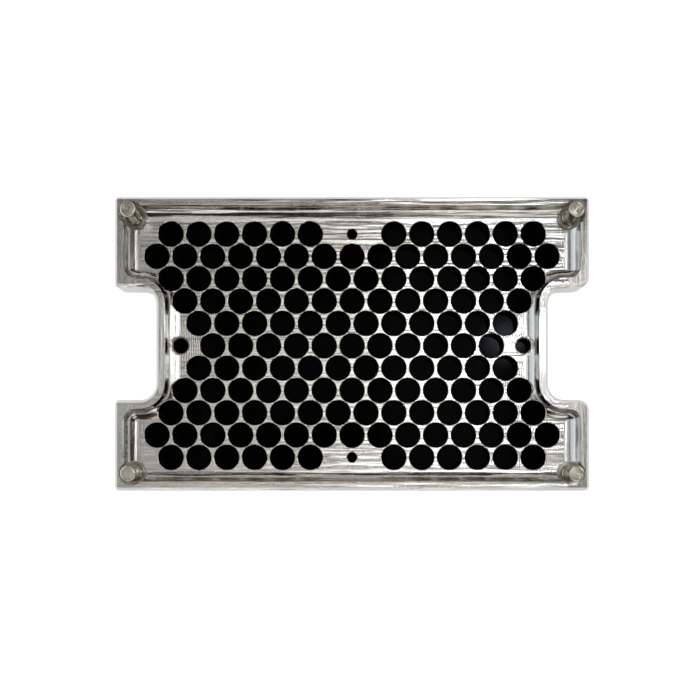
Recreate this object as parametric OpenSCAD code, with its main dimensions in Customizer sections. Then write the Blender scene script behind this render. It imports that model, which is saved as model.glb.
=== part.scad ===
// Perforated loading tray on a black base, guided by four corner posts.
// X is the long side, Y the short side, Z is up. The origin is under the middle of the feet.

/* [Tray] */
// Tray length along X
tray_length = 226; // [160:1:300]
// Tray width along Y
tray_width = 140; // [110:1:220]
// Thickness of the perforated floor
floor_t = 5; // [4:0.5:14]
// Height of the rim above the floor
rim_rise = 6.3; // [3:0.1:12]
// Width of the whole rim band
rim_band = 10; // [8:0.5:14]
// Radius of the cove where the rim meets the floor
cove_r = 5.4; // [2:0.1:6]
// Chamfer on the outer top edge of the rim
rim_chamfer = 1.5; // [0.4:0.1:2.5]
// Vertical radius of the four outer corners
corner_r = 2; // [1:0.5:6]

/* [Hand notches] */
// How far each notch cuts into the short side
notch_depth = 19.7; // [8:0.1:22]
// Width of each notch along Y
notch_width = 53.5; // [30:0.5:70]
// Inner corner radius of the notch
notch_r = 8; // [4:0.5:12]
// Radius where the left notch meets the short side
lobe_r_left = 2; // [1:0.5:6]
// Radius where the right notch meets the short side
lobe_r_right = 5; // [1:0.5:6]

/* [Bores] */
// Centre distance within a row
bore_pitch = 13.5; // [10:0.1:20]
// Distance between neighbouring rows
row_pitch = 10.82; // [8:0.02:18]
// Diameter of each bore
bore_d = 12.3; // [6:0.1:16]

/* [Locating holes] */
// Distance of a side hole from the bottom of its notch
side_inset = 10.3; // [8:0.1:14]
// Outside diameter of the bush in a side hole
side_hole_d = 8.8; // [6:0.1:10]
// Bore of the bush in a side hole
side_bush_bore = 7.4; // [4:0.1:8]
// Diameter of the two small centre holes
centre_hole_d = 5; // [2:0.1:6]

/* [Posts] */
// Distance of a post from the long side
post_inset_y = 8.4; // [7:0.1:16]
// Distance of a post from the short side
post_inset_x = 8.3; // [7:0.1:16]
// Diameter of a post's shaft, which the bush slides on
post_d = 7.5; // [5:0.1:9]
// How much the tip's radius is turned down above the bush
post_tip_step = 0.2; // [0.2:0.05:0.5]
// Height of the post's shoulder above the tray floor
post_shoulder = 2.4; // [2:0.1:6]
// Height of a post above the tray floor
post_rise = 12; // [7:0.5:30]
// Chamfer on the top of a post
post_chamfer = 0.5; // [0.2:0.1:1]
// Depth of the post's seat in the base
post_seat = 2.5; // [1:0.1:3]
// Flange diameter of a guide bush
bush_flange_d = 11; // [10:0.1:15]
// Flange thickness of a guide bush
bush_flange_t = 1.2; // [0.6:0.1:2]
// Wall of a guide bush
bush_wall = 1.1; // [0.8:0.1:2]

/* [Base] */
// Thickness of the black base
base_t = 6; // [5:0.5:14]
// How far the base stands back from the tray's outline
base_inset = 2; // [0:0.1:4]
// Foot diameter
foot_d = 16; // [10:0.5:24]
// Foot height
foot_h = 5; // [4:0.5:12]
// Distance of a foot from the long side
foot_inset_y = 20; // [12:0.5:40]
// Distance of a foot from the short side
foot_inset_x = 30; // [12:0.5:60]

/* [Fits] */
// Radial gap between a post and its bush, a sliding fit
slide_gap = 0.05; // [0.02:0.01:0.1]
// Radial gap round a screw
screw_gap = 0.1; // [0.05:0.05:0.5]

/* [Hidden] */
$fn = 64;
eps = 0.01;
half_l = tray_length / 2;
half_w = tray_width / 2;
base_z = foot_h;
tray_z = base_z + base_t;
floor_z = tray_z + floor_t;
rim_z = floor_z + rim_rise;
post_top = floor_z + post_rise;
post_tip_d = post_d - 2 * post_tip_step;
post_x = half_l - post_inset_x;
post_y = half_w - post_inset_y;
notch_x = half_l - notch_depth;
side_span = 2 * (notch_x - side_inset);
post_screw_d = 4;
post_screw_head_d = 7;
post_screw_head_t = 2;
post_screw_reach = 8;
foot_screw_d = 3;
foot_screw_head_d = 5.5;
foot_screw_head_t = 1.8;
foot_washer_d = 6.4;
foot_washer_t = 0.5;
foot_well_d = 7;
foot_well_t = 3;
foot_screw_reach = 4;
pad_r = 4.9;
pad_reach = 7;
spot_gap = 0.4;
spot_r = bush_flange_d / 2 + spot_gap;
core_r = min(3, (bore_pitch - centre_hole_d) / 2 - 0.8);
aluminium = [0.74, 0.73, 0.71];
steel = [0.82, 0.82, 0.8];
brass = [0.78, 0.76, 0.7];
black = [0.04, 0.04, 0.045];

// The bores stand in eleven staggered rows, numbered from the middle row.
rows = 5;
shortest_row = 11;
function row_count(i) = shortest_row + (abs(i) == rows ? rows - 2 : abs(i));
function spot(i, k) = [(k - (row_count(i) - 1) / 2) * bore_pitch, i * row_pitch];
function row_spots(i) = [for (k = [0 : row_count(i) - 1]) spot(i, k)];
function row_end(i) = spot(i, row_count(i) - 1);
// The outer rows leave out the two bores beside each centre hole.
function is_bored(p) = !(abs(p[1]) > (rows - 0.5) * row_pitch && abs(p[0]) < bore_pitch);
function bores_of(points) = [for (p = points) if (is_bored(p)) p];

module corners(x, y) {
    for (sx = [-1, 1], sy = [-1, 1]) translate([sx * x, sy * y]) children();
}

// The outline seen from above, moved inward by inset.
module outline(inset = 0) {
    l = half_l - inset;
    w = half_w - inset;
    difference() {
        union() {
            square([2 * (l - corner_r), 2 * w], center = true);
            square([2 * l, 2 * (w - corner_r)], center = true);
            corners(l - corner_r, w - corner_r) circle(corner_r);
        }
        for (s = [-1, 1]) translate([s * l, 0]) notch(s, notch_width + 2 * inset);
    }
}

module notch(s, width) {
    lobe_r = s < 0 ? lobe_r_left : lobe_r_right;
    inner = notch_depth - notch_r;
    square([2 * inner, width], center = true);
    square([2 * notch_depth, width - 2 * notch_r], center = true);
    for (sy = [-1, 1]) {
        translate([-s * inner, sy * (width / 2 - notch_r)]) circle(notch_r);
        // the flare that rounds each lobe
        difference() {
            translate([-s * lobe_r / 2 + s, sy * (width / 2 + lobe_r / 2 - eps)])
                square([lobe_r + 2, lobe_r + 2 * eps], center = true);
            translate([-s * lobe_r, sy * (width / 2 + lobe_r)]) circle(lobe_r);
        }
    }
}

function points_near(points, c, r) = len([for (p = points) if (norm(p - c) < r) 1]) > 0;

// What the floor is drilled with: the bores, the centre holes, and the two corner points of
// the webs that carry no bore, whose round middle is drawn by tray_cores.
module drilled(points) {
    for (p = points) translate(p) circle(r = is_bored(p) ? bore_d / 2 : core_r);
    for (s = [-1, 1]) if (points_near(points, [0, s * rows * row_pitch], bore_pitch * 0.6))
        translate([0, s * rows * row_pitch]) circle(d = centre_hole_d);
}

// One web of the floor, between three neighbouring bores.
module web(points) {
    translate([0, 0, tray_z]) linear_extrude(floor_t) difference() {
        polygon(points);
        drilled(points);
    }
}

// The webs between row i and the longer row j; up picks those that point to +Y.
module web_strip(i, j, up) {
    a = row_spots(i);
    b = row_spots(j);
    if ((i > j) == up) for (k = [0 : len(a) - 1]) web([a[k], b[k], b[k + 1]]);
    if ((j > i) == up) for (k = [0 : len(a) - 2]) web([a[k], a[k + 1], b[k + 1]]);
}

module webs(up) {
    for (i = [0 : rows - 2]) {
        web_strip(i, i + 1, up);
        web_strip(-i, -i - 1, up);
    }
    web_strip(rows, rows - 1, up);
    web_strip(-rows, 1 - rows, up);
}

// One cell of the solid margin, from the outermost bores to the tray's edge.
module margin_cell(points, s) {
    shown = [for (p = points) [s[0] * p[0], s[1] * p[1]]];
    translate([0, 0, tray_z]) linear_extrude(floor_t) difference() {
        intersection() {
            polygon(shown);
            outline();
        }
        drilled([shown[0], shown[len(shown) - 1]]);
        for (sx = [-1, 1]) translate([sx * side_span / 2, 0]) circle(d = side_hole_d);
        corners(post_x, post_y) circle(r = post_d / 2 + slide_gap + bush_wall);
    }
}

// Where a cut from bore p at the given angle meets the line x = limit, no lower than y = least.
function cut_to(p, angle, limit, least) = [limit, max(least, p[1] + (limit - p[0]) * tan(angle))];

// The margin cells of one quarter, from the middle of the long side round to the notch.
function quarter_cells() =
    let (far_x = half_l + 2, far_y = half_w + 2, near_x = notch_x + 2)
    let (long = row_spots(rows), half = row_count(rows) / 2)
    let (top = row_end(rows), wide = row_end(rows - 1))
    let (top_cut = cut_to(top, 5, far_x, 0), wide_up = [far_x, top_cut[1] - 4])
    let (wide_down = cut_to(wide, -35, far_x, 2.4))
    let (third_cut = cut_to(row_end(3), -30, far_x, 1.8), second_cut = cut_to(row_end(2), -30, far_x, 1.2))
    let (first_cut = cut_to(row_end(1), -25, near_x, 0.6))
    concat(
        [for (k = [half - 1 : len(long) - 2])
            [long[k], [long[k][0], far_y], [long[k + 1][0], far_y], long[k + 1]]],
        [[top, [top[0], far_y], [far_x, far_y], top_cut],
         [top, top_cut, wide_up, wide],
         [wide, wide_up, wide_down],
         [wide, wide_down, third_cut, row_end(3)],
         [row_end(3), third_cut, second_cut, row_end(2)],
         [row_end(2), second_cut, first_cut, row_end(1)],
         [row_end(1), first_cut, [near_x, 0], row_end(0)]]);

// Every other cell of the margin, so that neighbours fall in different nodes.
module margin(odd) {
    cells = quarter_cells();
    for (sx = [-1, 1], sy = [-1, 1], k = [0 : len(cells) - 1])
        if ((k + (sy > 0 ? 0 : 1)) % 2 == odd && (k > 0 || sx > 0)) margin_cell(cells[k], [sx, sy]);
}

// The tray's floor is one piece of metal. It is drawn as webs and margin cells that meet
// face to face, so that every bore stays open in a simulation.
module tray_webs_up() color(aluminium) webs(true);
module tray_webs_down() color(aluminium) webs(false);
module tray_margin_even() color(aluminium) margin(0);
module tray_margin_odd() color(aluminium) margin(1);
module tray_cores() color(aluminium) for (sx = [-1, 1], sy = [-1, 1])
    translate([sx * bore_pitch / 2, sy * rows * row_pitch, tray_z]) cylinder(r = core_r, h = floor_t);

// Section of the rim: u runs inward from the outer edge, v runs up from the floor.
module rim_section() {
    difference() {
        polygon([[0, 0], [rim_band, 0], [rim_band, rim_rise], [rim_chamfer, rim_rise],
                 [0, rim_rise - rim_chamfer]]);
        translate([rim_band, cove_r]) circle(cove_r);
        translate([rim_band - cove_r, cove_r]) square([cove_r + 1, rim_rise]);
    }
}

module rim_run(length) {
    rotate([90, 0, 0]) linear_extrude(length, center = true) rim_section();
}

module tray_rim() color(aluminium) translate([0, 0, floor_z]) difference() {
    intersection() {
        union() {
            for (s = [0, 180]) rotate(s) {
                // long side
                translate([0, -half_w, 0]) rotate(90) rim_run(tray_length);
                // two lobes
                lobe = half_w - notch_width / 2;
                for (sy = [-1, 1]) translate([-half_l, sy * (half_w - lobe / 2), 0]) rim_run(lobe);
                // sides of the notch
                reach = notch_depth - notch_r;
                for (m = [0, 1]) mirror([0, m, 0])
                    translate([-half_l + reach / 2, notch_width / 2, 0]) rotate(90) rim_run(reach);
                // bottom of the notch
                translate([-notch_x, 0, 0]) rim_run(notch_width - 2 * notch_r);
                // corners of the notch
                for (m = [0, 1]) mirror([0, m, 0])
                    translate([-notch_x - notch_r, notch_width / 2 - notch_r, 0])
                        rotate_extrude(angle = 90) translate([notch_r, 0]) rim_section();
            }
        }
        linear_extrude(rim_rise) outline();
    }
    // bores that reach under the cove at the notch
    for (i = [-3 : 3], sx = [-1, 1]) translate([sx * row_end(i)[0], row_end(i)[1], -eps])
        cylinder(d = bore_d, h = rim_rise);
    // flat spots round the posts and the side holes
    corners(post_x, post_y) translate([0, 0, -eps]) cylinder(r = spot_r, h = rim_rise + 1);
    for (sx = [-1, 1]) translate([sx * side_span / 2, 0, -eps]) {
        cylinder(r = pad_r, h = rim_rise + 1);
        translate([-sx * pad_reach / 2, 0, rim_rise / 2]) cube([pad_reach, 2 * pad_r, rim_rise + 1], center = true);
    }
}

module guide_bush(x, y) color(brass) translate([x, y, tray_z]) difference() {
    union() {
        cylinder(r = post_d / 2 + slide_gap + bush_wall, h = floor_t);
        translate([0, 0, floor_t]) cylinder(d = bush_flange_d, h = bush_flange_t);
    }
    translate([0, 0, -1]) cylinder(d = post_d + 2 * slide_gap, h = floor_t + bush_flange_t + 2);
}

module guide_bush_back_left() guide_bush(-post_x, post_y);
module guide_bush_back_right() guide_bush(post_x, post_y);
module guide_bush_front_left() guide_bush(-post_x, -post_y);
module guide_bush_front_right() guide_bush(post_x, -post_y);

module side_bush(x) color(steel) translate([x, 0, tray_z]) difference() {
    cylinder(d = side_hole_d, h = floor_t);
    translate([0, 0, -1]) cylinder(d = side_bush_bore, h = floor_t + 2);
}

module side_bush_left() side_bush(-side_span / 2);
module side_bush_right() side_bush(side_span / 2);

module base_plate() color(black) difference() {
    translate([0, 0, base_z]) linear_extrude(base_t) outline(base_inset);
    corners(post_x, post_y) {
        translate([0, 0, tray_z - post_seat]) cylinder(d = post_d + 2 * slide_gap, h = post_seat + 1);
        translate([0, 0, base_z - 1]) cylinder(d = post_screw_d + 2 * screw_gap, h = base_t);
        translate([0, 0, base_z - 1]) cylinder(d = post_screw_head_d + 4 * screw_gap, h = 1 + post_screw_head_t);
    }
    corners(half_l - foot_inset_x, half_w - foot_inset_y)
        translate([0, 0, base_z - 1]) cylinder(d = foot_screw_d + 2 * screw_gap, h = 1.5 + foot_screw_reach);
}

module post(x, y) color(steel) translate([x, y, 0]) difference() {
    union() {
        translate([0, 0, tray_z - post_seat]) cylinder(d = post_d, h = floor_z + post_shoulder - tray_z + post_seat);
        translate([0, 0, floor_z]) cylinder(d = post_tip_d, h = post_rise - post_chamfer);
        translate([0, 0, post_top - post_chamfer])
            cylinder(d1 = post_tip_d, d2 = post_tip_d - 2 * post_chamfer, h = post_chamfer);
    }
    translate([0, 0, tray_z - post_seat - 1]) cylinder(d = post_screw_d + 2 * screw_gap, h = post_screw_reach + 2);
}

module post_back_left() post(-post_x, post_y);
module post_back_right() post(post_x, post_y);
module post_front_left() post(-post_x, -post_y);
module post_front_right() post(post_x, -post_y);

module post_screws() color(steel) corners(post_x, post_y) translate([0, 0, base_z]) {
    web_t = base_t - post_seat - post_screw_head_t;
    difference() {
        union() {
            cylinder(d = post_screw_head_d, h = post_screw_head_t);
            cylinder(d = post_screw_d, h = post_screw_head_t + web_t + post_screw_reach);
        }
        translate([0, 0, -1]) cylinder(d = 3, h = 2.2, $fn = 6);
    }
}

module foot(x, y) color(black) translate([x, y, 0]) difference() {
    union() {
        cylinder(d1 = foot_d - 1.6, d2 = foot_d, h = 0.8);
        translate([0, 0, 0.8]) cylinder(d = foot_d, h = foot_h - 0.8);
    }
    translate([0, 0, -1]) cylinder(d = foot_well_d, h = 1 + foot_well_t);
    cylinder(d = foot_screw_d + 2 * screw_gap, h = foot_h + 1);
}

module foot_back_left() foot(foot_inset_x - half_l, half_w - foot_inset_y);
module foot_back_right() foot(half_l - foot_inset_x, half_w - foot_inset_y);
module foot_front_left() foot(foot_inset_x - half_l, foot_inset_y - half_w);
module foot_front_right() foot(half_l - foot_inset_x, foot_inset_y - half_w);

module foot_washers() color(steel) corners(half_l - foot_inset_x, half_w - foot_inset_y)
    translate([0, 0, foot_well_t - foot_washer_t]) difference() {
        cylinder(d = foot_washer_d, h = foot_washer_t);
        translate([0, 0, -1]) cylinder(d = foot_screw_d + 2 * screw_gap, h = foot_washer_t + 2);
    }

module foot_screws() color(steel) corners(half_l - foot_inset_x, half_w - foot_inset_y)
    translate([0, 0, foot_well_t - foot_washer_t - foot_screw_head_t]) difference() {
        union() {
            cylinder(d = foot_screw_head_d, h = foot_screw_head_t);
            cylinder(d = foot_screw_d, h = foot_screw_head_t + foot_washer_t + foot_h - foot_well_t + foot_screw_reach);
        }
        translate([0, 0, -1]) cylinder(d = 2.5, h = 2, $fn = 6);
    }

tray_webs_up();
tray_webs_down();
tray_margin_even();
tray_margin_odd();
tray_cores();
tray_rim();
guide_bush_back_left();
guide_bush_back_right();
guide_bush_front_left();
guide_bush_front_right();
side_bush_left();
side_bush_right();
base_plate();
post_back_left();
post_back_right();
post_front_left();
post_front_right();
post_screws();
foot_back_left();
foot_back_right();
foot_front_left();
foot_front_right();
foot_washers();
foot_screws();
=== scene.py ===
import bpy, bmesh, math
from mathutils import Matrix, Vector


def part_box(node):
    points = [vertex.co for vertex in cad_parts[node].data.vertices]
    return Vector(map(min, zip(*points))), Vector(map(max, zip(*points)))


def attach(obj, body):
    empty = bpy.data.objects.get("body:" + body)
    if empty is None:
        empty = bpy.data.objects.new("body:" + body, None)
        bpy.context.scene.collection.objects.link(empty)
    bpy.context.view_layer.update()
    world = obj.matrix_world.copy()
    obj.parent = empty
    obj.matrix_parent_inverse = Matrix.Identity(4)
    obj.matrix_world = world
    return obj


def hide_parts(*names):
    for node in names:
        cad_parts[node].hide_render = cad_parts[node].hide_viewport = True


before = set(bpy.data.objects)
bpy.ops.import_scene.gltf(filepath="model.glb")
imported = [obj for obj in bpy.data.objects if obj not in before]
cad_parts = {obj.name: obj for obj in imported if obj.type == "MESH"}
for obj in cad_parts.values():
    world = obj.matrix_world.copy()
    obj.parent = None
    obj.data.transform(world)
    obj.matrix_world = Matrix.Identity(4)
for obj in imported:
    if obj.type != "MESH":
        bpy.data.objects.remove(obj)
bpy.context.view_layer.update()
mm = 0.001
scene = bpy.context.scene


def hexColour(code, alpha=1.0):
    parts = [int(code[i:i + 2], 16) / 255 for i in (0, 2, 4)]
    return [c / 12.92 if c <= 0.04045 else ((c + 0.055) / 1.055) ** 2.4 for c in parts] + [alpha]


# adds one node, sets its properties and inputs, and links what is given as a socket
def put(tree, kind, settings=None, inputs=None):
    node = tree.nodes.new(kind)
    for key, value in (settings or {}).items():
        setattr(node, key, value)
    for key, value in (inputs or {}).items():
        if isinstance(value, bpy.types.NodeSocket):
            tree.links.new(value, node.inputs[key])
        else:
            node.inputs[key].default_value = value
    return node


# a shorthand for the maths nodes of one tree
def mathsIn(tree):
    def calc(operation, a, b=0.0, c=0.0):
        return put(tree, "ShaderNodeMath", {"operation": operation}, {0: a, 1: b, 2: c}).outputs[0]
    return calc


# carries the range low to high of a value over to start to end, and holds it there
def ranged(tree, value, low, high, start=0.0, end=1.0):
    return put(tree, "ShaderNodeMapRange", {"clamp": True}, {0: value, 1: low, 2: high, 3: start, 4: end}).outputs[0]


# relief in metres, turned into a bent surface normal
def bumped(tree, height):
    return put(tree, "ShaderNodeBump", None, {"Strength": 1.0, "Distance": 1.0, "Height": height}).outputs[0]


def meshObject(name, mesh):
    obj = bpy.data.objects.new(name, mesh)
    scene.collection.objects.link(obj)
    return obj


# rings of equal length become a closed skin; looped joins the last ring to the first
def skin(name, rings, looped=False, turned=False):
    bm = bmesh.new()
    uv = bm.loops.layers.uv.new("turn") if turned else None
    vs = [[bm.verts.new(Vector(p) * mm) for p in ring] for ring in rings]
    count = len(rings[0])
    along = [0.0]
    for a, b in zip(rings, rings[1:] + rings[:1]):
        along.append(along[-1] + (Vector(a[0]) - Vector(b[0])).length)
    last = len(rings) if looped else len(rings) - 1
    for i in range(last):
        a, b = vs[i], vs[(i + 1) % len(vs)]
        for k in range(count):
            n = (k + 1) % count
            face = bm.faces.new((a[k], a[n], b[n], b[k]))
            if uv:
                places = ((k, along[i]), (k + 1, along[i]), (k + 1, along[i + 1]), (k, along[i + 1]))
                for loop, (u, v) in zip(face.loops, places):
                    loop[uv].uv = (u / count, v)
    if not looped:
        for ring, start in ((vs[0], along[0]), (vs[-1], along[last])):
            face = bm.faces.new(ring)
            for loop in face.loops:
                if uv:
                    loop[uv].uv = (0, start)
    bmesh.ops.recalc_face_normals(bm, faces=bm.faces)
    mesh = bpy.data.meshes.new(name)
    bm.to_mesh(mesh)
    bm.free()
    return meshObject(name, mesh)


def circle(r, z, centre=(0, 0), count=64):
    turns = [2 * math.pi * k / count for k in range(count)]
    return [(centre[0] + r * math.cos(a), centre[1] + r * math.sin(a), z) for a in turns]


def hexagon(across, z, centre=(0, 0), count=64):
    out = []
    for k in range(count):
        a = 2 * math.pi * k / count
        r = across / 2 / math.cos((a + math.pi / 6) % (math.pi / 3) - math.pi / 6)
        out.append((centre[0] + r * math.cos(a), centre[1] + r * math.sin(a), z))
    return out


# smooth where faces meet gently, crisp at machined edges and round every flat
def machinedEdges(obj, angle=32, level=0.99995):
    bm = bmesh.new()
    bm.from_mesh(obj.data)
    for face in bm.faces:
        face.smooth = True
    for edge in bm.edges:
        if len(edge.link_faces) != 2:
            continue
        a, b = edge.link_faces
        flatA, flatB = abs(a.normal.z) > level, abs(b.normal.z) > level
        edge.smooth = flatA == flatB and a.normal.angle(b.normal, 0) < math.radians(angle)
    bm.to_mesh(obj.data)
    bm.free()


def joined(name, parts):
    bm = bmesh.new()
    for part in parts:
        bm.from_mesh(part.data)
        spare = part.data
        bpy.data.objects.remove(part)
        bpy.data.meshes.remove(spare)
    mesh = bpy.data.meshes.new(name)
    bm.to_mesh(mesh)
    bm.free()
    return meshObject(name, mesh)


# takes the plain mesh that the object's modifiers give, and drops the modifiers
def bake(obj):
    mesh = bpy.data.meshes.new_from_object(obj.evaluated_get(bpy.context.evaluated_depsgraph_get()))
    obj.modifiers.clear()
    old, obj.data = obj.data, mesh
    bpy.data.meshes.remove(old)
    mesh.name = obj.name


def cut(obj, tools):
    for tool in tools:
        mod = obj.modifiers.new("cut", "BOOLEAN")
        mod.solver = "EXACT"
        mod.object = tool
        bake(obj)
        spare = tool.data
        bpy.data.objects.remove(tool)
        bpy.data.meshes.remove(spare)


# runs a geometry node tree on an empty mesh and keeps the plain result
def grow(name, tree, values):
    obj = meshObject(name, bpy.data.meshes.new(name))
    mod = obj.modifiers.new("grow", "NODES")
    mod.node_group = tree
    sockets = {item.name: item.identifier for item in tree.interface.items_tree if item.in_out == "INPUT"}
    for key, value in values.items():
        mod[sockets[key]] = value
    obj.update_tag()
    bpy.context.view_layer.update()
    bake(obj)
    return obj


# names the inputs of a geometry node tree, and gives its one output
def newGrowth(name, sockets):
    tree = bpy.data.node_groups.new(name, "GeometryNodeTree")
    for label, kind in sockets:
        tree.interface.new_socket(label, in_out="INPUT", socket_type="NodeSocket" + kind)
    tree.interface.new_socket("Geometry", in_out="OUTPUT", socket_type="NodeSocketGeometry")
    return tree, put(tree, "NodeGroupInput").outputs


# puts a copy of one object on every point, makes them real and gives them their material
def copiesOn(tree, points, source, material):
    part = put(tree, "GeometryNodeObjectInfo", None, {"Object": source})
    copies = put(tree, "GeometryNodeInstanceOnPoints", None,
                 {"Points": points, "Instance": part.outputs["Geometry"]})
    real = put(tree, "GeometryNodeRealizeInstances", None, {0: copies.outputs[0]})
    shown = put(tree, "GeometryNodeSetMaterial", None, {"Geometry": real.outputs[0], "Material": material})
    put(tree, "NodeGroupOutput", None, {0: shown.outputs[0]})


def finish(obj, body, slotName, material, *nodes):
    obj.data.materials.clear()
    obj.data.materials.append(material)
    for face in obj.data.polygons:
        face.material_index = 0
    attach(obj, body)
    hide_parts(*nodes)


def newMaterial(name):
    mat = bpy.data.materials.new(name)
    mat.use_nodes = True
    tree = mat.node_tree
    shader = next(n for n in tree.nodes if n.type == "BSDF_PRINCIPLED")
    return mat, tree, shader


# Aluminium plate, end-milled and lightly polished: bright, soft-edged reflections broken up by
# the arcs that the cutter leaves, by drawn-out streaks along each pass and by handling haze.
# Lengths and depths are in mm, and each "...Scale" counts features in a mm.
def milledAluminium():
    look = {"colour": "dfdedb", "roughness": 0.09, "polished": 0.03, "haze": 0.05, "hazeScale": 0.09,
            "arcPitch": 1.1, "cutterRadius": 8.0, "pass": 9.0, "arcDepth": 0.017,
            "wobbleScale": 0.06, "wobble": 9.0, "patchScale": 0.035, "patchLow": 0.42, "patchHigh": 0.62,
            "faintest": 0.1, "arcsFrom": 50.0, "arcsFull": 78.0, "floorTop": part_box("tray_rim")[0].z / mm + 0.05,
            "streakWidth": 0.6, "streakLength": 13.0, "streakDepth": 0.07, "streakRoughness": 0.7,
            "bandWidth": 2.4, "bandLength": 40.0, "bandDepth": 0.4, "sideBandDepth": 0.12,
            "rimStart": 102.6, "notchReach": 24.0}
    mat, tree, shader = newMaterial("milledAluminium")
    calc = mathsIn(tree)
    coords = put(tree, "ShaderNodeTexCoord").outputs["Object"]
    scaled = put(tree, "ShaderNodeVectorMath", {"operation": "SCALE"}, {0: coords, "Scale": 1 / mm}).outputs[0]
    axes = put(tree, "ShaderNodeSeparateXYZ", None, {0: scaled})
    # distance across one pass of the cutter, then the arc that its trailing edge draws
    across = calc("SUBTRACT", calc("PINGPONG", axes.outputs["Y"], look["pass"] / 2), look["pass"] / 4)
    sag = calc("SQRT", calc("SUBTRACT", look["cutterRadius"] ** 2, calc("MULTIPLY", across, across)))
    wobble = put(tree, "ShaderNodeTexNoise", None,
                 {"Vector": scaled, "Scale": look["wobbleScale"], "Detail": 2.0}).outputs[0]
    phase = calc("MULTIPLY_ADD", calc("ADD", axes.outputs["X"], sag), 2 * math.pi / look["arcPitch"],
                 calc("MULTIPLY", wobble, look["wobble"]))
    arcs = calc("SINE", phase)
    patches = put(tree, "ShaderNodeTexNoise", None,
                  {"Vector": scaled, "Scale": look["patchScale"], "Detail": 3.0}).outputs[0]
    strength = ranged(tree, patches, look["patchLow"], look["patchHigh"], look["faintest"], 1.0)
    # the arcs are left on the ends of the floor only
    ends = ranged(tree, calc("ABSOLUTE", axes.outputs["X"]), look["arcsFrom"], look["arcsFull"])
    onFloor = calc("LESS_THAN", axes.outputs["Z"], look["floorTop"])
    strength = calc("MULTIPLY", strength, calc("MULTIPLY", ends, onFloor))
    # streaks run along X on the floor and the long sides, and along Y on the short sides
    onSides = calc("GREATER_THAN", calc("ABSOLUTE", axes.outputs["X"]), look["rimStart"])
    atNotch = calc("LESS_THAN", calc("ABSOLUTE", axes.outputs["Y"]), look["notchReach"])
    onSides = calc("MAXIMUM", onSides, calc("MULTIPLY", atNotch, calc("SUBTRACT", 1.0, onFloor)))
    marks = []
    for width, length, detail in ((look["streakWidth"], look["streakLength"], 6.0),
                                  (look["bandWidth"], look["bandLength"], 1.0)):
        pair = []
        for scale in ((1 / length, 1 / width, 1 / width), (1 / width, 1 / length, 1 / width)):
            mapped = put(tree, "ShaderNodeMapping", None, {"Vector": scaled, "Scale": scale}).outputs[0]
            pair.append(put(tree, "ShaderNodeTexNoise", None,
                            {"Vector": mapped, "Scale": 1.0, "Detail": detail,
                             "Roughness": look["streakRoughness"]}).outputs[0])
        marks.append(put(tree, "ShaderNodeMix", None, {"Factor": onSides, "A": pair[0], "B": pair[1]}).outputs[0])
    # the bands are fainter on the short sides
    bandDepth = calc("MULTIPLY_ADD", onSides, (look["sideBandDepth"] - look["bandDepth"]) * mm,
                     look["bandDepth"] * mm)
    height = calc("MULTIPLY_ADD", calc("MULTIPLY", arcs, strength), look["arcDepth"] * mm,
                  calc("MULTIPLY_ADD", marks[0], look["streakDepth"] * mm, calc("MULTIPLY", marks[1], bandDepth)))
    haze = put(tree, "ShaderNodeTexNoise", None,
               {"Vector": scaled, "Scale": look["hazeScale"], "Detail": 5.0}).outputs[0]
    rough = ranged(tree, haze, 0.3, 0.7, look["roughness"] - look["polished"], look["roughness"] + look["haze"])
    tree.links.new(rough, shader.inputs["Roughness"])
    tree.links.new(bumped(tree, height), shader.inputs["Normal"])
    shader.inputs["Base Color"].default_value = hexColour(look["colour"])
    shader.inputs["Metallic"].default_value = 1.0
    return mat


# Steel turned on a lathe: fine rings along the profile, which stretch each highlight.
# The rings' pitch and depth are in mm, and wander shifts their spacing along the length.
def turnedMetal(name, colour, roughness, pitch, depth, wander=9.0, smoother=0.05, rougher=0.08):
    mat, tree, shader = newMaterial(name)
    calc = mathsIn(tree)
    uv = put(tree, "ShaderNodeUVMap", {"uv_map": "turn"}).outputs[0]
    axes = put(tree, "ShaderNodeSeparateXYZ", None, {0: uv})
    drift = put(tree, "ShaderNodeTexNoise", {"noise_dimensions": "1D"},
                {"W": axes.outputs["Y"], "Scale": wander, "Detail": 3.0}).outputs[0]
    rings = calc("SINE", calc("MULTIPLY_ADD", axes.outputs["Y"], 2 * math.pi / pitch, drift))
    rough = ranged(tree, drift, 0.3, 0.7, roughness - smoother, roughness + rougher)
    tree.links.new(rough, shader.inputs["Roughness"])
    tree.links.new(bumped(tree, calc("MULTIPLY", rings, depth * mm)), shader.inputs["Normal"])
    shader.inputs["Base Color"].default_value = hexColour(colour)
    shader.inputs["Metallic"].default_value = 1.0
    return mat


# Plastic or rubber coloured right through: a fine grain softens the sheen, and a broad mottle
# some 22 mm across keeps it from looking uniform. Grain and depth are in mm.
def darkPolymer(name, colour, roughness, spread, ior, gloss, grain, depth, mottle=45.0):
    mat, tree, shader = newMaterial(name)
    coords = put(tree, "ShaderNodeTexCoord").outputs["Object"]
    fine = put(tree, "ShaderNodeTexNoise", None,
               {"Vector": coords, "Scale": 1 / (grain * mm), "Detail": 3.0}).outputs[0]
    broad = put(tree, "ShaderNodeTexNoise", None, {"Vector": coords, "Scale": mottle, "Detail": 4.0}).outputs[0]
    rough = ranged(tree, broad, 0.3, 0.7, roughness - spread, roughness + spread)
    tree.links.new(rough, shader.inputs["Roughness"])
    tree.links.new(bumped(tree, mathsIn(tree)("MULTIPLY", fine, depth * mm)), shader.inputs["Normal"])
    shader.inputs["Base Color"].default_value = hexColour(colour)
    shader.inputs["IOR"].default_value = ior
    shader.inputs["Specular IOR Level"].default_value = gloss
    return mat


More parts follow.
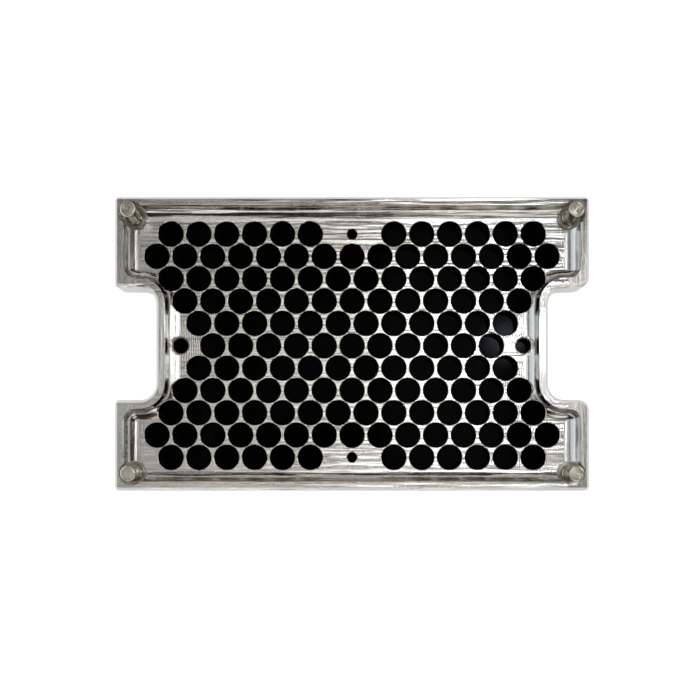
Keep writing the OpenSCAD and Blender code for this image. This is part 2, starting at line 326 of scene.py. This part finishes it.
aluminium = milledAluminium()
turnedSteel = turnedMetal("turnedStainlessSteel", colour="dcd7c8", roughness=0.18, pitch=0.5, depth=0.008)
bushSteel = turnedMetal("turnedBushSteel", colour="a39f96", roughness=0.2, pitch=0.4, depth=0.006)
platedScrew = turnedMetal("zincPlatedSteel", colour="c4c6c9", roughness=0.3, pitch=0.4, depth=0.001)
blackAcetal = darkPolymer("blackAcetalSheet", colour="010101", roughness=0.08, spread=0.02, ior=1.48, gloss=0.014,
                          grain=0.35, depth=0.0004)
blackRubber = darkPolymer("mouldedBlackRubber", colour="161616", roughness=0.78, spread=0.06, ior=1.52, gloss=0.5,
                          grain=0.25, depth=0.01)
print("materials made")


# the outline that the tray and the base share, in mm
shape = {"length": 226.0, "width": 140.0, "notchDepth": 19.7, "notchWidth": 53.5, "cornerRadius": 2.0,
         "leftLobeRadius": 2.0, "rightLobeRadius": 5.0, "notchRadius": 8.0, "arcSteps": 14, "tightest": 0.15}


# the outline moved inward by inset; with nose, its outer corners are left by a cutter of that radius
def outlineRing(inset, z, nose=None):
    hl, hw = shape["length"] / 2, shape["width"] / 2
    nx, ny = hl - shape["notchDepth"], shape["notchWidth"] / 2
    ring = []
    # each quarter runs from the notch to the long side; mirrored quarters run backwards
    for sx, sy, backwards in ((1, 1, False), (-1, 1, True), (-1, -1, False), (1, -1, True)):
        part = []
        lobe = shape["rightLobeRadius"] if sx > 0 else shape["leftLobeRadius"]
        corners = (((nx, ny), shape["notchRadius"], -1, (-1, 0), (0, 1)), ((hl, ny), lobe, 1, (0, 1), (-1, 0)),
                   ((hl, hw), shape["cornerRadius"], 1, (-1, 0), (0, -1)))
        for (cx, cy), radius, kind, n1, n2 in corners:
            vx, vy = cx + inset * (n1[0] + n2[0]), cy + inset * (n1[1] + n2[1])
            if kind > 0:
                r = max(radius - inset, shape["tightest"]) if nose is None else nose + shape["tightest"]
            else:
                r = radius + inset
            ox, oy = vx + kind * r * (n1[0] + n2[0]), vy + kind * r * (n1[1] + n2[1])
            for k in range(shape["arcSteps"] + 1):
                a = math.pi / 2 * k / shape["arcSteps"]
                px = ox - kind * r * (n1[0] * math.cos(a) + n2[0] * math.sin(a))
                py = oy - kind * r * (n1[1] * math.cos(a) + n2[1] * math.sin(a))
                part.append((sx * px, sy * py, z))
        ring += part[::-1] if backwards else part
    return ring


# the tray: one plate with a coved rim, drilled from above
tray = {"underside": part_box("tray_webs_up")[0].z / mm, "floor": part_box("tray_rim")[0].z / mm,
        "rimTop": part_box("tray_rim")[1].z / mm,
        "band": 10.0, "cove": 5.4, "chamfer": 1.5, "lowerEdge": 0.5, "lip": 0.25, "lipMiddle": 0.07,
        "coveSteps": 14, "step": 0.14,
        "pitch": 13.5, "rowPitch": 10.82, "rowsPerSide": 5, "shortestRow": 11,
        "boreRadius": 6.15, "boreChamfer": 0.2, "drillRise": 2.2,
        "spotRadius": 5.9, "padRadius": 4.9, "padReach": 7.0, "padSteps": 32, "sideSpan": 166.0, "sideHole": 4.4,
        "centreHole": 2.5, "centreChamfer": 0.3, "postX": 104.7, "postY": 61.6, "bushRadius": 4.9}
# how far a cutter reaches past what it cuts
overcut = 1.0


def trayBlank():
    t = tray
    top, floor, under = t["rimTop"], t["floor"], t["underside"]
    inner = t["band"] - t["cove"]
    lip, middle, edge = t["lip"], t["lipMiddle"], t["lowerEdge"]
    rings = [outlineRing(edge, under), outlineRing(0, under + edge), outlineRing(0, top - t["chamfer"]),
             outlineRing(t["chamfer"], top), outlineRing(inner - lip, top, t["cove"] + lip),
             outlineRing(inner - middle, top - middle, t["cove"] + middle),
             outlineRing(inner, top - lip, t["cove"])]
    for k in range(t["coveSteps"] + 1):
        a = math.pi / 2 * k / t["coveSteps"]
        u = t["band"] - t["cove"] * math.cos(a)
        rings.append(outlineRing(u, floor + t["step"] + t["cove"] * (1 - math.sin(a)), t["band"] - u))
    # the cutter's last pass leaves a small step between the cove and the floor
    rings.append(outlineRing(t["band"] + t["step"], floor, 0))
    return skin("tray", rings)


# the staggered field of bores: a grid at half the pitch, thinned by the rule of the rows
def boreField():
    tree, given = newGrowth("boreField", (("Pitch", "Float"), ("Row Pitch", "Float"), ("Rows", "Int"),
                                          ("Shortest Row", "Int"), ("Cutter", "Object"), ("Material", "Material")))
    calc = mathsIn(tree)
    perSide = given["Rows"]
    down = calc("MULTIPLY_ADD", perSide, 2.0, 1.0)
    wide = calc("ADD", given["Shortest Row"], perSide)
    grid = put(tree, "GeometryNodeMeshGrid", None, {
        "Size X": calc("MULTIPLY", calc("SUBTRACT", wide, 1.0), given["Pitch"]),
        "Size Y": calc("MULTIPLY", calc("MULTIPLY", perSide, 2.0), given["Row Pitch"]),
        "Vertices X": calc("MULTIPLY_ADD", wide, 2.0, -1.0), "Vertices Y": down})
    # the grid's points count up its columns; column and row are counted from the middle outwards,
    # and the halves keep whole numbers clear of rounding
    index = put(tree, "GeometryNodeInputIndex").outputs[0]
    column = calc("FLOOR", calc("DIVIDE", calc("ADD", index, 0.5), down))
    column = calc("ABSOLUTE", calc("SUBTRACT", column, calc("SUBTRACT", wide, 1.0)))
    row = calc("FLOOR", calc("ADD", calc("MODULO", index, down), 0.5))
    row = calc("ABSOLUTE", calc("SUBTRACT", row, perSide))
    outer = calc("GREATER_THAN", row, calc("SUBTRACT", perSide, 0.5))
    # each row outwards is one bore longer, but the outermost is shorter and has a gap in its middle
    reach = calc("ADD", calc("SUBTRACT", given["Shortest Row"], 1.0), row)
    reach = calc("SUBTRACT", reach, calc("MULTIPLY", outer, 2.0))
    tooFar = calc("GREATER_THAN", column, calc("ADD", reach, 0.5))
    offBeat = calc("GREATER_THAN", calc("MODULO", calc("ADD", column, reach), 2.0), 0.5)
    inGap = calc("MULTIPLY", outer, calc("LESS_THAN", column, 1.5))
    drop = calc("ADD", calc("ADD", tooFar, offBeat), inGap)
    kept = put(tree, "GeometryNodeDeleteGeometry", {"domain": "POINT"},
               {"Geometry": grid.outputs["Mesh"], "Selection": drop})
    points = put(tree, "GeometryNodeMeshToPoints", None, {"Mesh": kept.outputs[0]})
    copiesOn(tree, points.outputs[0], given["Cutter"], given["Material"])
    return tree


# the round-ended flat milled into the cove at a side hole
def padCutter(side):
    t = tray
    ring = []
    for k in range(t["padSteps"] + 1):
        a = math.pi * k / t["padSteps"] - math.pi / 2
        ring.append((t["padRadius"] * math.cos(a), t["padRadius"] * math.sin(a)))
    ring += [(-t["padReach"], t["padRadius"]), (-t["padReach"], -t["padRadius"])]
    return skin("pad", [[(side * (t["sideSpan"] / 2 + x), y, z) for x, y in ring]
                        for z in (t["floor"], t["rimTop"] + overcut)])


def drilledTray():
    t = tray
    obj = trayBlank()
    low, high, floor = t["underside"] - overcut, t["rimTop"] + overcut, t["floor"]
    r, c = t["boreRadius"], t["boreChamfer"]
    # the cutter carries the chamfer, and stops short of the rim's top where it passes under the cove
    drill = skin("drill", [circle(r, low), circle(r, floor - c), circle(r + c, floor),
                           circle(r + c, floor + t["drillRise"])])
    bores = grow("bores", boreField(), {"Pitch": t["pitch"] * mm, "Row Pitch": t["rowPitch"] * mm,
                                        "Rows": t["rowsPerSide"], "Shortest Row": t["shortestRow"],
                                        "Cutter": drill, "Material": aluminium})
    bpy.data.objects.remove(drill)
    spots, sides = [], []
    for sx in (-1, 1):
        at = (sx * t["sideSpan"] / 2, 0)
        sides.append(skin("side", [circle(t["sideHole"], low, at), circle(t["sideHole"], high, at)]))
        spots.append(padCutter(sx))
        for sy in (-1, 1):
            at = (sx * t["postX"], sy * t["postY"])
            spots.append(skin("spot", [circle(t["bushRadius"], low, at), circle(t["bushRadius"], floor, at),
                                       circle(t["spotRadius"], floor, at), circle(t["spotRadius"], high, at)]))
    h, c = t["centreHole"], t["centreChamfer"]
    for sy in (-1, 1):
        at = (0, sy * t["rowsPerSide"] * t["rowPitch"])
        spots.append(skin("small", [circle(h, low, at), circle(h, floor - c, at), circle(h + c, floor, at),
                                    circle(h + c, high, at)]))
    cut(obj, [bores, joined("spots", spots), joined("sides", sides)])
    return obj


trayPiece = drilledTray()
machinedEdges(trayPiece)
finish(trayPiece, "tray", "milled_aluminium", aluminium, "tray_webs_up", "tray_webs_down", "tray_margin_even",
       "tray_margin_odd", "tray_cores", "tray_rim")
print("tray drilled:", len(trayPiece.data.polygons), "faces")


# the black base, with a broken edge, and holes for its screws and posts
base = {"bottom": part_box("base_plate")[0].z / mm, "top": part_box("base_plate")[1].z / mm, "edge": 0.6, "inset": 2.0,
        "cornerRadius": 1.85, "headWell": 3.7, "headWellDepth": 2.0, "shankHole": 2.1, "postSeat": 3.8,
        "postSeatDepth": 2.5, "footX": 83.0, "footY": 50.0, "footHole": 1.6, "footHoleDepth": 4.5}


def basePlate():
    b = base
    bottom, top, e = b["bottom"], b["top"], b["edge"]
    obj = skin("base_plate_black", [outlineRing(b["inset"] + inset, z, b["cornerRadius"] - inset)
                                    for inset, z in ((e, bottom), (0, bottom + e), (0, top - e), (e, top))])
    well, seat = bottom + b["headWellDepth"], top - b["postSeatDepth"]
    wells = []
    for sx in (-1, 1):
        for sy in (-1, 1):
            at = (sx * tray["postX"], sy * tray["postY"])
            wells.append(skin("well", [circle(b["headWell"], bottom - overcut, at), circle(b["headWell"], well, at),
                                       circle(b["shankHole"], well, at), circle(b["shankHole"], seat, at),
                                       circle(b["postSeat"], seat, at), circle(b["postSeat"], top + overcut, at)]))
            at = (sx * b["footX"], sy * b["footY"])
            wells.append(skin("well", [circle(b["footHole"], bottom - overcut, at),
                                       circle(b["footHole"], bottom + b["footHoleDepth"], at)]))
    cut(obj, [joined("wells", wells)])
    return obj


basePiece = basePlate()
machinedEdges(basePiece)
finish(basePiece, "base", "black_acetal", blackAcetal, "base_plate")
print("base cut")


def sites(stepX, stepY):
    return {"back_left": (-stepX, stepY), "back_right": (stepX, stepY),
            "front_left": (-stepX, -stepY), "front_right": (stepX, -stepY)}


# turned parts bend the light smoothly up to this angle between faces, in degrees
turnedAngle = 40


def turnedPiece(name, profile, at, looped=True):
    obj = skin(name, [circle(radius, z, at) for radius, z in profile], looped=looped, turned=True)
    machinedEdges(obj, turnedAngle)
    return obj


# a post: its threaded hole, its body, then a slimmer tip with a rounded edge and a faintly dished end;
# rounding is how far in and down, and dish is radius and how far down
post = {"hole": 2.1, "holeDepth": 9.0, "body": 3.75, "bodyChamfer": 0.25, "tip": 3.55, "shoulder": 2.4,
        "shoulderChamfer": 0.15, "rounding": ((0.0, 0.45), (0.12, 0.18), (0.38, 0.02), (0.55, 0.0)),
        "dish": ((2.2, 0.0), (2.1, 0.04), (0.5, 0.05), (0.12, 0.09))}
guideBush = {"bore": 3.8, "flange": 5.5, "flangeHeight": 1.2, "chamfer": 0.25, "lowerChamfer": 0.2}


def postProfile(z0, z1):
    p = post
    shoulder = tray["floor"] + p["shoulder"]
    profile = [(p["hole"], z0 + p["holeDepth"]), (p["hole"], z0), (p["body"] - p["bodyChamfer"], z0),
               (p["body"], z0 + p["bodyChamfer"]), (p["body"], shoulder - p["shoulderChamfer"]), (p["tip"], shoulder)]
    profile += [(p["tip"] - inward, z1 - down) for inward, down in p["rounding"]]
    return profile + [(radius, z1 - down) for radius, down in p["dish"]]


def guideBushProfile(z0, z1):
    b = guideBush
    c, f, body = b["chamfer"], z1 - b["flangeHeight"], tray["bushRadius"]
    return [(b["bore"] + c, z0), (body, z0), (body, f), (b["flange"], f), (b["flange"], z1 - c),
            (b["flange"] - c, z1), (b["bore"] + c, z1), (b["bore"], z1 - c), (b["bore"], z0 + b["lowerChamfer"])]


def heights(node):
    low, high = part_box(node)
    return low.z / mm, high.z / mm


for corner, at in sites(tray["postX"], tray["postY"]).items():
    piece = turnedPiece("post_" + corner + "_turned", postProfile(*heights("post_" + corner)), at, looped=False)
    finish(piece, "base", "turned_steel", turnedSteel, "post_" + corner)
    piece = turnedPiece("bush_" + corner + "_turned", guideBushProfile(*heights("guide_bush_" + corner)), at)
    finish(piece, "tray", "turned_bush", bushSteel, "guide_bush_" + corner)

# a plain bush that lines a side hole, wider at the mouth
sideBush = {"bore": 3.7, "mouth": 0.25, "outerChamfer": 0.15, "lowerChamfer": 0.2}
for side, sx in (("left", -1), ("right", 1)):
    z0, z1 = heights("side_bush_" + side)
    b, body = sideBush, tray["sideHole"]
    profile = [(b["bore"] + b["lowerChamfer"], z0), (body, z0), (body, z1 - b["outerChamfer"]),
               (body - b["outerChamfer"], z1), (b["bore"] + b["mouth"], z1), (b["bore"], z1 - b["mouth"]),
               (b["bore"], z0 + b["lowerChamfer"])]
    piece = turnedPiece("side_bush_" + side + "_turned", profile, (sx * tray["sideSpan"] / 2, 0))
    finish(piece, "tray", "turned_bush", bushSteel, "side_bush_" + side)
print("posts and bushes turned")


# copies of one part at the four corners of a rectangle
def cornerSet():
    tree, given = newGrowth("cornerSet", (("Spacing X", "Float"), ("Spacing Y", "Float"), ("Part", "Object"),
                                          ("Material", "Material")))
    grid = put(tree, "GeometryNodeMeshGrid", None, {"Size X": given["Spacing X"], "Size Y": given["Spacing Y"],
                                                   "Vertices X": 2, "Vertices Y": 2})
    copiesOn(tree, grid.outputs["Mesh"], given["Part"], given["Material"])
    return tree


cornerTree = cornerSet()


def fourOf(name, rings, halfX, halfY, looped, node):
    part = skin("part", rings, looped=looped, turned=True)
    machinedEdges(part, turnedAngle)
    obj = grow(name, cornerTree, {"Spacing X": halfX * 2 * mm, "Spacing Y": halfY * 2 * mm, "Part": part,
                                  "Material": platedScrew})
    bpy.data.objects.remove(part)
    finish(obj, "base", "plated_screw", platedScrew, node)


# a socket-head screw, head down; start is where its head's face lies and reach its whole length
postScrew = {"start": base["bottom"], "socket": 3.0, "socketCentre": 0.6, "socketDepth": 1.2, "head": 3.5,
             "chamfer": 0.3, "headHeight": 2.0, "shank": 2.0, "point": 1.6, "pointHeight": 0.5, "reach": 11.5}
footScrew = {"start": 0.7, "socket": 2.5, "socketCentre": 0.5, "socketDepth": 1.0, "head": 2.75,
             "chamfer": 0.25, "headHeight": 1.8, "shank": 1.5, "point": 1.2, "pointHeight": 0.4, "reach": 8.3}
footWasher = {"hole": 1.6, "radius": 3.2, "edge": 0.05, "bottom": 2.5, "top": 3.0}


def screwRings(s):
    z = s["start"]
    socketTop, headTop, tip = z + s["socketDepth"], z + s["headHeight"], z + s["reach"]
    return [hexagon(s["socketCentre"], socketTop), hexagon(s["socket"], socketTop), hexagon(s["socket"], z),
            circle(s["head"] - s["chamfer"], z), circle(s["head"], z + s["chamfer"]), circle(s["head"], headTop),
            circle(s["shank"], headTop), circle(s["shank"], tip - s["pointHeight"]), circle(s["point"], tip)]


def washerRings(w):
    return [circle(w["hole"], w["bottom"]), circle(w["radius"] - w["edge"], w["bottom"]),
            circle(w["radius"], w["bottom"] + w["edge"]), circle(w["radius"], w["top"]), circle(w["hole"], w["top"])]


fourOf("post_screws_plated", screwRings(postScrew), tray["postX"], tray["postY"], False, "post_screws")
fourOf("foot_screws_plated", screwRings(footScrew), base["footX"], base["footY"], False, "foot_screws")
fourOf("foot_washers_plated", washerRings(footWasher), base["footX"], base["footY"], True, "foot_washers")

# a moulded foot, with a well for its washer and screw; sole is its rounded lower edge
foot = {"hole": 1.6, "well": 3.5, "wellTop": 3.0, "wellEdge": 0.2, "radius": 8.0, "height": 5.0, "topEdge": 0.2,
        "sole": ((6.6, 0.0), (7.2, 0.15), (7.7, 0.5), (8.0, 1.1))}
for corner, at in sites(base["footX"], base["footY"]).items():
    f = foot
    profile = [(f["hole"], f["wellTop"]), (f["well"], f["wellTop"]), (f["well"], f["wellEdge"]),
               (f["well"] + f["wellEdge"], 0), *f["sole"], (f["radius"], f["height"] - f["topEdge"]),
               (f["radius"] - f["topEdge"], f["height"]), (f["hole"], f["height"])]
    piece = turnedPiece("foot_" + corner + "_moulded", profile, at)
    finish(piece, "base", "black_rubber", blackRubber, "foot_" + corner)
print("fixings and feet made")


# the floor glows a little, so that it stays pale under the object, and more to the camera itself
studio = {"floorHalf": 6.0, "floorColour": "fbfbfb", "floorRough": 0.9, "grainScale": 30.0, "roughLow": 0.85,
          "roughHigh": 0.95, "glow": 0.45, "seenGlow": 0.45, "backdrop": "fefefe"}


def paleFloor():
    s = studio
    mat, tree, shader = newMaterial("paleStudioFloor")
    shader.inputs["Base Color"].default_value = hexColour(s["floorColour"])
    shader.inputs["Roughness"].default_value = s["floorRough"]
    grain = put(tree, "ShaderNodeTexNoise", None, {"Scale": s["grainScale"]}).outputs[0]
    tree.links.new(ranged(tree, grain, 0.0, 1.0, s["roughLow"], s["roughHigh"]), shader.inputs["Roughness"])
    shader.inputs["Emission Color"].default_value = hexColour("ffffff")
    direct = put(tree, "ShaderNodeLightPath").outputs["Is Camera Ray"]
    tree.links.new(mathsIn(tree)("MULTIPLY_ADD", direct, s["seenGlow"], s["glow"]),
                   shader.inputs["Emission Strength"])
    h = s["floorHalf"]
    mesh = bpy.data.meshes.new("studio_floor")
    mesh.from_pydata([(-h, -h, 0), (h, -h, 0), (h, h, 0), (-h, h, 0)], [], [(0, 1, 2, 3)])
    obj = meshObject("studio_floor", mesh)
    obj.data.materials.append(mat)
    return obj


paleFloor()

# in metres and mm of lens; height is above the tray's floor
camera = {"height": 0.316, "lens": 33.58, "sensor": 36, "x": -0.001, "y": -0.056, "shiftY": 0.159}
camData = bpy.data.cameras.new("camera")
camData.lens = camera["lens"]
camData.sensor_width = camera["sensor"]
camData.shift_y = camera["shiftY"]
camObj = bpy.data.objects.new("camera", camData)
camObj.location = (camera["x"], camera["y"], tray["floor"] * mm + camera["height"])
scene.collection.objects.link(camObj)
scene.camera = camObj


# a rectangular panel of light at one place, aimed at another; metres and watts
def softbox(name, at, aim, size, power, colour):
    light = bpy.data.lights.new(name, "AREA")
    light.shape = "RECTANGLE"
    light.size, light.size_y = size
    light.energy = power
    light.color = hexColour(colour)[:3]
    obj = bpy.data.objects.new(name, light)
    obj.location = at
    obj.rotation_mode = "QUATERNION"
    obj.rotation_quaternion = (Vector(aim) - Vector(at)).to_track_quat("-Z", "Y")
    scene.collection.objects.link(obj)


# overhead: a broad panel whitens the right of the floor, and its bright core gives the hottest spot
softbox("overheadPanel", (0.31, 0.3, 1.8), (0.31, 0.3, 0), (0.4, 0.8), 1.8, "fffefb")
softbox("overheadLeft", (-0.1, 0.26, 1.8), (-0.1, 0.26, 0), (0.4, 0.4), 0.5, "fffefb")
softbox("keyCore", (0.5, 0.33, 1.79), (0.1, 0.0, 0), (0.09, 0.09), 1.1, "e8f0ff")
# at the sides: a window and strips for the coves and the outer walls to reflect
softbox("windowLeft", (-1.4, 0.26, 0.9), (0, 0.26, 0), (1.9, 1.6), 8.6, "e6f0fa")
softbox("stripRight", (1.12, 0.26, 0.72), (0, 0.26, 0), (0.34, 1.4), 2.4, "f6faf6")
softbox("stripFront", (0.1, -1.7, 0.36), (0, 0, 0), (2.4, 0.2), 2.0, "fffaf2")
softbox("stripHigh", (-0.1, -0.42, 1.8), (-0.1, -0.42, 0), (1.4, 0.06), 0.5, "fffaf2")
softbox("frontRight", (0.6, -1.2, 1.15), (0.1, 0, 0), (0.9, 0.7), 2.0, "fbfbf8")
softbox("stripBack", (0.1, 1.7, 0.85), (0, 0, 0), (2.4, 0.12), 1.8, "fffcf6")
softbox("stripBackHigh", (0.0, 1.05, 1.7), (0, 0, 0), (1.6, 0.06), 0.5, "fffcf6")
softbox("ceilingGap", (-0.46, 0.3, 1.8), (-0.46, 0.3, 0), (0.05, 1.2), 0.25, "fffcf6")

# the room from the ground up: a light band low down, dim warm walls, a pale ceiling, dark at its middle
roomStops = ((0.0, "d6d3cd"), (0.22, "c4c0b8"), (0.28, "372b2a"), (0.6, "2b2221"), (0.87, "39302d"),
             (0.91, "6e675f"), (0.945, "a2a09c"), (0.99, "adacaa"), (0.9958, "544a46"), (1.0, "3b312d"))
world = bpy.data.worlds.new("studio")
scene.world = world
world.use_nodes = True
room = world.node_tree
background = next(n for n in room.nodes if n.type == "BACKGROUND")
around = put(room, "ShaderNodeTexCoord").outputs["Generated"]
ramp = put(room, "ShaderNodeValToRGB", None,
           {0: put(room, "ShaderNodeSeparateXYZ", None, {0: around}).outputs["Z"]})
while len(ramp.color_ramp.elements) < len(roomStops):
    ramp.color_ramp.elements.new(0.5)
for element, (place, code) in zip(ramp.color_ramp.elements, roomStops):
    element.position = place
    element.color = hexColour(code)
direct = put(room, "ShaderNodeLightPath").outputs["Is Camera Ray"]
mixed = put(room, "ShaderNodeMix", {"data_type": "RGBA"},
            {0: direct, 6: ramp.outputs[0], 7: hexColour(studio["backdrop"])})
room.links.new(mixed.outputs[2], background.inputs["Color"])
background.inputs["Strength"].default_value = 1.0
scene.view_settings.view_transform = "Standard"
print("studio lit")
